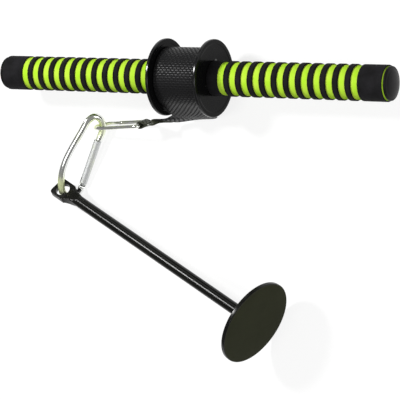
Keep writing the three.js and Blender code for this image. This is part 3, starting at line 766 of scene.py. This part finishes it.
def throughPoints(knots, steps):
    # Centripetal Catmull-Rom: knot spacing is the square root of the distance, ends are mirrored
    knots = np.asarray(knots, float)
    padded = np.concatenate([[2 * knots[0] - knots[1]], knots, [2 * knots[-1] - knots[-2]]])
    t = np.linspace(0, len(knots) - 1, steps)
    i = np.clip(t.astype(int), 0, len(knots) - 2)
    u = (t - i)[:, None]
    p0, p1, p2, p3 = (padded[i + k] for k in range(4))
    d0, d1, d2 = (np.sqrt(np.linalg.norm(b - a, axis=1))[:, None] for a, b in ((p0, p1), (p1, p2), (p2, p3)))
    m1 = ((p1 - p0) / d0 - (p2 - p0) / (d0 + d1) + (p2 - p1) / d1) * d1
    m2 = ((p2 - p1) / d1 - (p3 - p1) / (d1 + d2) + (p3 - p2) / d2) * d1
    return ((2 * u ** 3 - 3 * u ** 2 + 1) * p1 + (u ** 3 - 2 * u ** 2 + u) * m1
            + (3 * u ** 2 - 2 * u ** 3) * p2 + (u ** 3 - u ** 2) * m2)


def tangents(points):
    # The direction at each point of a line, of length one
    made = np.gradient(points, axis=0)
    return made / np.linalg.norm(made, axis=1)[:, None]


def lengthAlong(line):
    # The distance to each point from the first, summed along the line
    return np.concatenate([[0], np.cumsum(np.linalg.norm(np.diff(line, axis=0), axis=1))])


def bandSurface(near, far, normal, values, across):
    # A strip between two edge lines: middle + s * half width + n * half thickness, where at the edges the
    # thickness shrinks like a quarter circle. UV is mm along, nothing at the far end, and mm across
    middle, half = (near + far) / 2, (far - near) / 2
    width = np.linalg.norm(half, axis=1)[:, None]
    s = np.cos(np.linspace(np.pi, 0, across))
    s = np.sign(s) * np.abs(s) ** values["crowding"]
    fromEdge = np.clip((1 - np.abs(s))[None, :] * width / values["edgeRound"], 0, 1)
    thick = values["thickness"] / 2 * np.sqrt(np.clip(1 - (1 - fromEdge) ** 2, values["edgeLeast"], 1))
    flat = middle[:, None] + s[None, :, None] * half[:, None]
    raised = thick[..., None] * normal[:, None]
    points, faces = closedBand(np.concatenate([flat + raised, (flat - raised)[:, ::-1]], 1))
    along = lengthAlong(middle)[:, None]
    v = np.concatenate([s, s[::-1]])[None, :] * width + values["width"] / 2
    uv = np.stack([along - along[-1] + 0 * v, v], -1)
    return onBar(points), faces, uv.reshape(-1, 2)


def spiral(angles, radii, halfWidth):
    # Points at an angle from the drum's top, towards -Y, at a radius; near and far edges and the outward normal
    normal = np.stack([0 * angles, -np.sin(angles), np.cos(angles)], -1)
    middle = radii[:, None] * normal
    side = np.array([halfWidth, 0, 0])
    return middle - side, middle + side, normal


def strapRun(values):
    # Two edge lines from the drum to the hook; the strip is ruled between them
    turn = math.radians(values["leaveAngle"])
    radius = values["woundRadius"] - values["thickness"] / 2
    middle = np.array([0, -radius * math.sin(turn), radius * math.cos(turn)])
    half = np.array([values["width"] / 2, 0, 0])
    turnFrame = linkFrame(hook)
    reach, side, rows = values["loopReach"], values["foldHeight"] / 2, values["runRows"]
    ends = np.array([[-2 * reach, side, 0], [-reach, side, 0], [-2 * reach, -side, 0], [-reach, -side, 0]])
    ends = ends @ turnFrame[:3, :3].T + turnFrame[:3, 3]
    raised = np.array([0, 0, drumHeight])
    near = throughPoints(np.vstack([middle - half, np.array(values["nearEdge"]) - raised, ends[:2]]), rows)
    far = throughPoints(np.vstack([middle + half, np.array(values["farEdge"]) - raised, ends[2:]]), rows)
    normal = -np.cross((far - near) / 2, tangents(near) + tangents(far))
    return near, far, normal / np.linalg.norm(normal, axis=1)[:, None]


def makeStrap(values):
    # One strip goes round the drum and on to the hook. The turns under it are a spiral whose radius grows by one
    # pitch each turn
    start, end = math.radians(values["startAngle"] - 360), math.radians(values["leaveAngle"])
    thickness, halfWidth, turns = values["thickness"], values["width"] / 2, values["innerTurns"]
    angles = np.linspace(start, end, values["woundRows"])
    wound = spiral(angles, 0 * angles + values["woundRadius"] - thickness / 2, halfWidth)
    lines = [np.concatenate([turn, run[1:]]) for turn, run in zip(wound, strapRun(values))]
    shape = bandSurface(*lines, values, values["across"])
    makePiece("webbing_strap", shape, "strap", "wovenWebbing", "strap")
    angles = np.linspace(-turns * 2 * np.pi, 0, values["innerRows"])
    radii = values["innerFrom"] + thickness / 2 + values["innerPitch"] * (angles / (2 * np.pi) + turns)
    lines = spiral(angles + start, np.minimum(radii, values["innerTo"]), halfWidth - values["innerInset"])
    shape = bandSurface(*lines, values, values["innerAcross"])
    makePiece("webbing_inner_turns", shape, "roller", "wovenWebbing", "strap_inner_turns")
    print("strap made")


def makeLoop(values):
    # The folded end round the hook's wire: a drop, half round at the wire and tapering to the doubled strap.
    # Its outline is offset inwards by the thickness and carried along the wire
    thickness, reach, bends = values["thickness"], values["loopReach"], values["loopBends"]
    outer = hook["wire"] + values["loopGap"] + thickness
    flat, waist = thickness * values["loopFlat"], -outer * values["loopWaist"]
    arc = np.linspace(-np.pi / 2, np.pi / 2, values["loopSteps"])
    turn = np.stack([outer * np.cos(arc), outer * np.sin(arc)], -1)
    tail = np.array([[-reach - thickness, -flat], [-reach * values["loopTail"], -flat], [waist, -outer]])
    outside = np.concatenate([rounded(np.concatenate([tail, turn[:1]]), bends, 8)[:-1], turn,
                              rounded(np.concatenate([turn[-1:], tail[::-1] * [1, -1]]), bends, 8)[1:]])
    direction = tangents(outside)
    inside = outside - thickness * np.stack([direction[:, 1], -direction[:, 0]], -1)
    # In the tail the inner line stays on its own side of the middle
    ownSide = np.sign(outside[:, 1]) * np.maximum(np.abs(inside[:, 1]), values["loopSlit"])
    inside[:, 1] = np.where(inside[:, 0] < waist, ownSide, inside[:, 1])
    ring = np.concatenate([outside, inside[::-1]])
    across = np.linspace(-values["foldHeight"] / 2, values["foldHeight"] / 2, values["loopRows"])[:, None]
    points, faces = closedBand(np.stack(np.broadcast_arrays(ring[:, 0], across, ring[:, 1]), -1))
    uv = np.stack(np.broadcast_arrays(lengthAlong(ring) + values["loopFrom"], across + values["width"] / 2), -1)
    shape = placed(points, hook), faces, uv.reshape(-1, 2)
    makePiece("webbing_end_loop", shape, "strap", "wovenWebbing", "strap")
    print("strap loop made")


makeStrap(strap)
makeLoop(strap)

linkShapes = {  # what both links share; over the wire's or gate's radius where no unit is given
    "wireSides": 28,
    "endRound": 0.9,  # a round end's length
    "endSteps": 8,
    "forkRoom": 1.35,  # how far the gate's fork straddles the wire from the rivet
    "noseRoom": 1.6,  # how far the gate covers the nose
    "nosePast": 0.3,  # how far past the gate's end the nose is eased
    "noseBefore": 1.5,  # mm
    "clearance": 0.3,
    "gateSides": 40,
    "gateTail": 0.75,
    "tailPower": 0.7,
    "tailSteps": 9,
    "gateRows": 24,
    "gateSpan": (0.5, 0.7),  # mm from both ends to the plain length
    "gateRound": 0.6,
    "gateFace": 1.0,  # mm in from its edge, where the far face turns flat
    "gateInner": 0.5,  # a row further in
    "sharpFrom": 40.0,  # degrees
    "rivetSides": 28,
    "rivetHalf": 0.72,  # half the shank, over the gate's radius
    "rivetHead": 1.5,  # over the shank's radius
    # A head's section from its top down: mm past the shank's end, and share of the head's radius
    "headLine": ((0.45, 0.0), (0.4, 0.6), (0.0, 1.0)),
    "headSeat": 0.05,
    "headRounds": (0, 0.3, 0.1, 0.02),  # at each of those corners and at the seat
}


def arcPoints(x, y, radius, start, end, count):
    # Centre + radius * (cos a, sin a), with a in degrees from start to end
    angle = np.radians(np.linspace(start, end, count))
    return np.stack([x + radius * np.cos(angle), y + radius * np.sin(angle)], -1)


def hookLine(link):
    # Straight, quarter round, straight, quarter round, straight, half round, straight to the nose
    corner, breadth, few, many = link["corner"], link["breadth"], link["bendSteps"], link["bowSteps"]
    back, bow = -link["gateFrom"], link["breadth"] / 2
    bend, bowAt = back + corner, back + link["reach"] - bow
    return np.concatenate([
        np.linspace([link["heelFrom"], 0], [bend, 0], 8)[:-1],
        arcPoints(bend, corner, corner, 270, 180, few),
        np.linspace([back, corner], [back, breadth - corner], few)[1:-1],
        arcPoints(bend, breadth - corner, corner, 180, 90, few),
        np.linspace([bend, breadth], [bowAt, breadth], many)[1:-1],
        arcPoints(bowAt, bow, bow, 90, -90, many),
        np.linspace([bowAt, 0], [link["gateTo"] - link["noseShort"] * link["wire"], 0], few)[1:],
    ])


def carabinerLine(link):
    # A smooth line through the knots of the outline, which are shares of the reach and the breadth
    knots = np.array(link["outline"]) * [link["reach"], link["breadth"]]
    return throughPoints(np.column_stack([knots, 0 * knots[:, 0]]), link["outlineSteps"])[:, :2]


def wireSurface(line, link, values, rivetGap, noseFrom):
    # A circle carried along a flat line, closed by round ends: there the radius follows a quarter circle while
    # the centre moves out. Where the gate straddles the wire, the height is held between plus and minus half
    # the tongue's thickness, eased in over a millimetre
    radius, tongue, gateTo = link["wire"], link["tongue"] / 2, link["gateTo"]
    line = np.column_stack([line, 0 * line[:, 0]])
    direction = tangents(line)
    tail, head = -direction[0] * radius * values["endRound"], direction[-1] * radius * values["endRound"]
    theta = np.linspace(0, np.pi / 2, values["endSteps"])[1:-1]
    rise = np.sin(theta)[:, None]
    centres = np.concatenate([line[0] + tail * rise[::-1], line, line[-1] + head * rise])
    direction = np.pad(direction, ((len(theta), len(theta)), (0, 0)), mode="edge")[:, None]
    size = np.concatenate([np.cos(theta)[::-1], np.ones(len(line)), np.cos(theta)])[:, None, None] * radius
    angle = np.linspace(0, 2 * np.pi, values["wireSides"], endpoint=False)[None, :, None]
    up = np.array([0, 0, 1.0])
    rings = centres[:, None] + size * (np.cos(angle) * np.cross(up, direction) + np.sin(angle) * up)
    points, faces = closedTube(rings, [line[0] + tail, line[-1] + head])
    x, z = points[:, 0], points[:, 2]
    near = np.abs(points[:, 1]) < 2 * radius
    atRivet = near & (np.abs(x) < rivetGap + 1)
    atNose = near & (x > noseFrom - values["noseBefore"]) & (x < gateTo + values["nosePast"] * radius)
    ease = np.where(atRivet, np.clip(np.abs(x) - rivetGap, 0, 1), np.clip(x - gateTo, 0, 1))
    limit = tongue + ease * (radius - tongue)
    points[:, 2] = np.where(atRivet | atNose, np.clip(z, -limit, limit), z)
    return points, faces


def cutShape(stock, cutters, link, sharpFrom, inner=0):
    # Takes closed shapes out of another with the Boolean modifier, puts the result in its place on the bench,
    # and keeps edges sharp that turn by more than some degrees
    target = addObject("stock", makeMesh("stock", *stock))
    helpers = [addObject("cutter", makeMesh("cutter", *cutter)) for cutter in cutters]
    for helper in helpers:
        cut = target.modifiers.new("cut", "BOOLEAN")
        cut.operation = "DIFFERENCE"
        cut.solver = "EXACT"
        cut.object = helper
    bpy.context.view_layer.update()
    made = bpy.data.meshes.new_from_object(target.evaluated_get(bpy.context.evaluated_depsgraph_get()))
    for used in (*helpers, target):
        bpy.data.objects.remove(used)
    points = np.empty(len(made.vertices) * 3)
    made.vertices.foreach_get("co", points)
    made.vertices.foreach_set("co", placed(points.reshape(-1, 3), link, inner).ravel())
    made.update()
    made.polygons.foreach_set("use_smooth", np.ones(len(made.polygons), bool))
    made.set_sharp_from_angle(angle=math.radians(sharpFrom))
    return made


def boxSurface(low, high):
    # Eight corners of a box
    x, y, z = np.meshgrid(*zip(low, high), indexing="ij")
    points = np.stack([x, y, z], -1).reshape(-1, 3)
    return points, [[0, 1, 3, 2], [4, 6, 7, 5], [0, 4, 5, 1], [2, 3, 7, 6], [0, 2, 6, 4], [1, 5, 7, 3]]


def gateSurface(link, values):
    # A round bar. Its tail's radius follows a power of a quarter sine, and its far end is flat with a round edge
    radius, length, edge = link["gate"], link["gateTo"], values["gateRound"]
    back = values["gateTail"] * radius
    a = np.linspace(0, np.pi / 2, values["tailSteps"])
    tail = np.stack([-back * np.cos(a), radius * np.sin(a) ** values["tailPower"]], -1)
    rows = np.linspace(values["gateSpan"][0], length - values["gateSpan"][1], values["gateRows"])
    middle = np.stack([rows, 0 * rows + radius], -1)
    head = [[length - edge, radius], [length, radius], [length, radius - values["gateFace"]]]
    face = [[length, radius * values["gateInner"]], [length, 0]]
    line = np.concatenate([[[-back, 0]], tail[1:], middle, rounded(head, [0, edge, 0], 5), face])
    return turnedSurface(line, values["gateSides"])


def rivetSurface(link, values):
    # A pin with two low domed heads, along the link's Z
    half = link["gate"] * values["rivetHalf"]
    head = [[half + past, share * link["rivet"] * values["rivetHead"]] for past, share in values["headLine"]]
    head = np.array(head + [[half - values["headSeat"], link["rivet"]]])
    rounds = values["headRounds"]
    points, faces = turnedSurface(rounded(np.concatenate([head * [-1, 1], head[::-1]]), rounds + rounds[::-1], 5),
                                  values["rivetSides"])
    return points[:, [1, 2, 0]], faces


def makeLink(name, link, line, gateFinish, values):
    # A bent wire, its gate with a slot at both ends for the wire, and the rivet that the gate turns on
    inner = np.array([link["gateFrom"], -link["originAcross"], 0])
    gap, gateTo, side = values["clearance"], link["gateTo"], 2 * link["gate"]
    rivetGap = link["wire"] * values["forkRoom"] + gap
    noseFrom = gateTo - values["noseRoom"] * link["wire"]
    points, faces = wireSurface(line, link, values, rivetGap, noseFrom)
    shape = placed(points, link, inner), faces
    makePiece(f"{name}_wire", shape, name, "brightZinc", f"{name}_body")
    slot = link["tongue"] / 2 + gap
    cutters = [boxSurface((-side, -side, -slot), (rivetGap + gap, side, slot)),
               boxSurface((noseFrom - gap, -side, -slot), (gateTo + 1, side, slot))]
    gate = cutShape(gateSurface(link, values), cutters, link, values["sharpFrom"], inner)
    makePiece(f"{name}_gate_bar", gate, f"{name}_gate", gateFinish, f"{name}_gate")
    points, faces = rivetSurface(link, values)
    shape = placed(points, link, inner), faces
    makePiece(f"{name}_pivot_rivet", shape, name, gateFinish, f"{name}_rivet")


makeLink("snap_hook", hook, hookLine(hook), "brightZinc", linkShapes)
makeLink("carabiner", carabiner, carabinerLine(carabiner), "brushedZinc", linkShapes)
print("links made")

pin = {
    "rod": 6.0,
    "sides": 56,
    "rows": (12, 70, 40),  # in the eye's corner, the eye and neck, and the plain rod
    "length": 282.0,
    "at": (-159.062, -121.149, 16.499),
    "heading": -24.6,
    "rise": 5.59,  # the plate stands on its rim
    "lean": -36.0,
    "eyeAcross": 21.0,
    "eyeThickness": 7.0,
    "eyeCorner": 4.0,
    "eyeHole": 7.5,
    "eyeSquare": 16.0,  # the power of the section at the eye; 2 is round
    "eyeCrown": 0.2,  # how much thinner its end is
    "shoulder": 0.85,  # where the flare starts, over half the eye
    "neck": 15.0,
    "neckPast": 6.0,  # the close rows go on this far along the plain rod
    "neckBend": (4.5, 5.8),  # past the eye and out from the axis, where the flare pulls in
    "neckWaist": (0.55, 0.86),  # the thickness there: over the neck, and over the rod's radius
    "squareTo": 0.9,  # where the section starts to turn round, over half the eye
    "easeFrom": 0.7,  # the hole's cutter widens from this far inside each face
    "easePast": 1.0,  # to this far past it
    "easeWider": 1.6,  # by this much
    "easeRound": 0.8,
    "sharpFrom": 38.0,  # degrees
    "plateRadius": 44.0,
    "plateThickness": 4.0,
    "plateEdge": 0.8,
    "plateRings": (0.3, 0.6),  # extra rows on the faces, over the radius
    "plateRim": 0.72,  # painted black, from the edge inwards
    "plateSides": 160,
    "weld": 2.5,
    "weldBed": 0.3,
    "weldRipples": (17, 0.6, 3, 0.35),  # count, how much they wander, how often, depth in mm
    "weldSides": 144,
}


def pinSurface(values):
    # A rounded rectangle carried along the pin that becomes a circle: a superellipse of half width w, half
    # thickness h and power n. w follows a quadratic flare from the eye to the rod, h straight lines between
    # them, and n falls from nearly square to 2 as 1 - 3t^2 + 2t^3
    half, thick = values["eyeAcross"] / 2, values["eyeThickness"] / 2
    rod, corner, rows = values["rod"], values["eyeCorner"], values["rows"]
    end = values["length"] - values["plateThickness"] - values["weldBed"]
    rodFrom = half + values["neck"]
    plainFrom = rodFrom + values["neckPast"]
    x = np.concatenate([np.linspace(0, 1, rows[0]) ** 2 * corner - half,
                        np.linspace(corner - half, plainFrom, rows[1])[1:],
                        np.linspace(plainFrom, end, rows[2])[1:]])
    t = np.linspace(0, 1, 30)
    shoulder = values["shoulder"] * half
    bendX, bendY = values["neckBend"]
    flareX = (1 - t) ** 2 * shoulder + 2 * t * (1 - t) * (half + bendX) + t ** 2 * rodFrom
    flareY = (1 - t) ** 2 * half + 2 * t * (1 - t) * bendY + t ** 2 * rod
    inCorner = np.clip((corner - half - x) / corner, 0, 1)
    width = np.interp(x, flareX, flareY) - corner * (1 - np.sqrt(np.clip(1 - inCorner ** 2, 0, 1)))
    waistAt, waist = values["neckWaist"]
    height = np.interp(x, [shoulder, half + waistAt * values["neck"], rodFrom], [thick, waist * rod, rod])
    height = height * (1 - values["eyeCrown"] * inCorner ** 3)
    squareTo = values["squareTo"] * half
    share = np.clip((x - squareTo) / (rodFrom - squareTo), 0, 1)
    power = (2 + (values["eyeSquare"] - 2) * (1 - share * share * (3 - 2 * share)))[:, None]
    angle = np.linspace(0, 2 * np.pi, values["sides"], endpoint=False)
    c, s = np.cos(angle)[None, :], np.sin(angle)[None, :]
    y = width[:, None] * np.sign(c) * np.abs(c) ** (2 / power)
    z = height[:, None] * np.sign(s) * np.abs(s) ** (2 / power)
    return closedTube(np.stack([x[:, None] + 0 * y, y, z], -1), [[-half, 0, 0], [end, 0, 0]])


def weldSurface(values, seat):
    # A fillet round the rod, whose radius ripples with the welder's steps
    weld, inner = values["weld"], values["rod"] + values["weldBed"]
    t = np.linspace(0, np.pi / 2, 10)
    fillet = np.stack([seat - weld + weld * np.sin(t), inner + weld - weld * np.cos(t)], -1)
    line = np.concatenate([[[seat - weld, inner]], fillet, [[seat, inner]]])
    points, faces = turnedSurface(line, values["weldSides"], closed=True)
    angle = np.arctan2(points[:, 1], points[:, 2])
    radial = np.hypot(points[:, 1], points[:, 2])
    share = np.clip((radial - inner) / weld, 0, 1) * np.clip((seat - points[:, 0]) / weld, 0, 1)
    count, wander, often, depth = values["weldRipples"]
    grow = 1 - depth * share * (1 + np.sin(count * angle + wander * np.sin(often * angle))) / radial
    points[:, 1:] *= grow[:, None]
    return points, faces


def makePin(values):
    # The rod's eye is drilled by a turned cutter that widens towards both faces, which eases the hole's edge
    half, hole = values["eyeThickness"] / 2, values["eyeHole"]
    outside, curve = half + values["easePast"], values["easeRound"]
    flank = np.array([[outside, 0], [outside, hole + values["easeWider"]], [half - values["easeFrom"], hole]])
    line = rounded(np.concatenate([flank * [-1, 1], flank[::-1]]), [0, 0, curve, curve, 0, 0], 6)
    points, faces = turnedSurface(line, 64)
    rod = cutShape(pinSurface(values), [(points[:, [1, 2, 0]], faces)], values, values["sharpFrom"])
    makePiece("pin_rod", rod, "loading_pin", "blackEnamel", "loading_pin_rod")
    front, radius, edge = values["length"], values["plateRadius"], values["plateEdge"]
    back = front - values["plateThickness"]
    line = rounded([[back, 0], [back, radius], [front, radius], [front, 0]], [0, edge, edge, 0], 8)
    rings = np.array([[0, share * radius] for share in values["plateRings"]])
    line = np.concatenate([line[:1], rings + [back, 0], line[1:-1], rings[::-1] + [front, 0], line[-1:]])
    points, faces = turnedSurface(line, values["plateSides"])
    shape = placed(points, values), faces
    piece = makePiece("pin_plate", shape, "loading_pin", "oliveEnamel", "loading_pin_plate")
    finishRim(piece, points, faces, radius - values["plateRim"], "blackEnamel")
    points, faces = weldSurface(values, back - values["weldBed"])
    shape = placed(points, values), faces
    makePiece("pin_weld", shape, "loading_pin", "blackEnamel", "loading_pin_weld")
    print("loading pin made")


makePin(pin)

insides = {
    "core_tube": "drawnSteel",
    "drum_hub": "matteBlackPlastic",
    "drum_cross_pin": "drawnSteel",
    "snap_hook_gate_spring": "drawnSteel",
    "carabiner_gate_spring": "drawnSteel",
}
for name, node in nodes.items():
    finish = "blackenedSteel" if "_flange_screw_" in name else insides.get(name)
    if finish:
        node.data.materials.clear()
        node.data.materials.append(materials[finish])

studio = {
    "benchSize": 30.0,
    "bench": (0.28, 0.28, 0.28),
    "benchRough": 0.9,
    "benchGlow": 0.82,
    "world": 0.13,
    "worldGloss": 0.26,  # what bright metal sees of the room
    # Each lamp: the direction that it shines from, how far off it is, its size and its power
    "lamps": {
        "key": ((-0.51, 0.34, 0.79), 2.0, 0.4, 26.0),
        "fill": ((0.80, -0.17, 0.57), 1.8, 0.7, 8.0),
        "top": ((-0.15, -0.20, 0.97), 2.0, 0.6, 7.0),
        "back": ((-0.27, 0.88, 0.39), 2.0, 0.8, 1.5),
    },
}


def makeStudio(values):
    # A pale bench in a dim room. Camera, gloss and glass see the bench as white, and it keeps its shadows
    size = values["benchSize"]
    mesh = bpy.data.meshes.new("bench")
    mesh.from_pydata([(-size, -size, 0), (size, -size, 0), (size, size, 0), (-size, size, 0)], [], [(0, 1, 2, 3)])
    addObject("bench", mesh)
    tree, shader, calc = newMaterial("paleBench", values["bench"], values["benchRough"], shine=0.0)
    mesh.materials.append(materials["paleBench"])
    shader.inputs["Emission Color"].default_value = (1, 1, 1, 1)
    rays = addNode(tree, "LightPath").outputs
    seen = calc("MAXIMUM", rays["Is Camera Ray"], rays["Is Glossy Ray"])
    seen = calc("MAXIMUM", seen, rays["Is Transmission Ray"])
    tree.links.new(calc("MULTIPLY", seen, values["benchGlow"]), shader.inputs["Emission Strength"])
    world = bpy.data.worlds.new("studio")
    world.use_nodes = True
    bpy.context.scene.world = world
    tree = world.node_tree
    calc = partial(mathNode, tree)
    back = tree.nodes["Background"]
    back.inputs[0].default_value = (1, 1, 1, 1)
    rays = addNode(tree, "LightPath").outputs
    seen = calc("MAXIMUM", rays["Is Camera Ray"], rays["Is Transmission Ray"])
    seen = calc("MAXIMUM", seen, calc("MULTIPLY", rays["Is Glossy Ray"], values["worldGloss"]))
    tree.links.new(calc("MAXIMUM", seen, values["world"]), back.inputs[1])
    for name, (shinesFrom, away, size, power) in values["lamps"].items():
        light = bpy.data.lights.new(name, "AREA")
        light.shape = "DISK"
        light.size = size
        light.energy = power
        made = addObject(name, light)
        made.location = Vector(shinesFrom).normalized() * away
        made.rotation_euler = (-made.location).to_track_quat("-Z", "Y").to_euler()
    bpy.context.scene.view_settings.view_transform = "Standard"
    print("studio made")


makeStudio(studio)
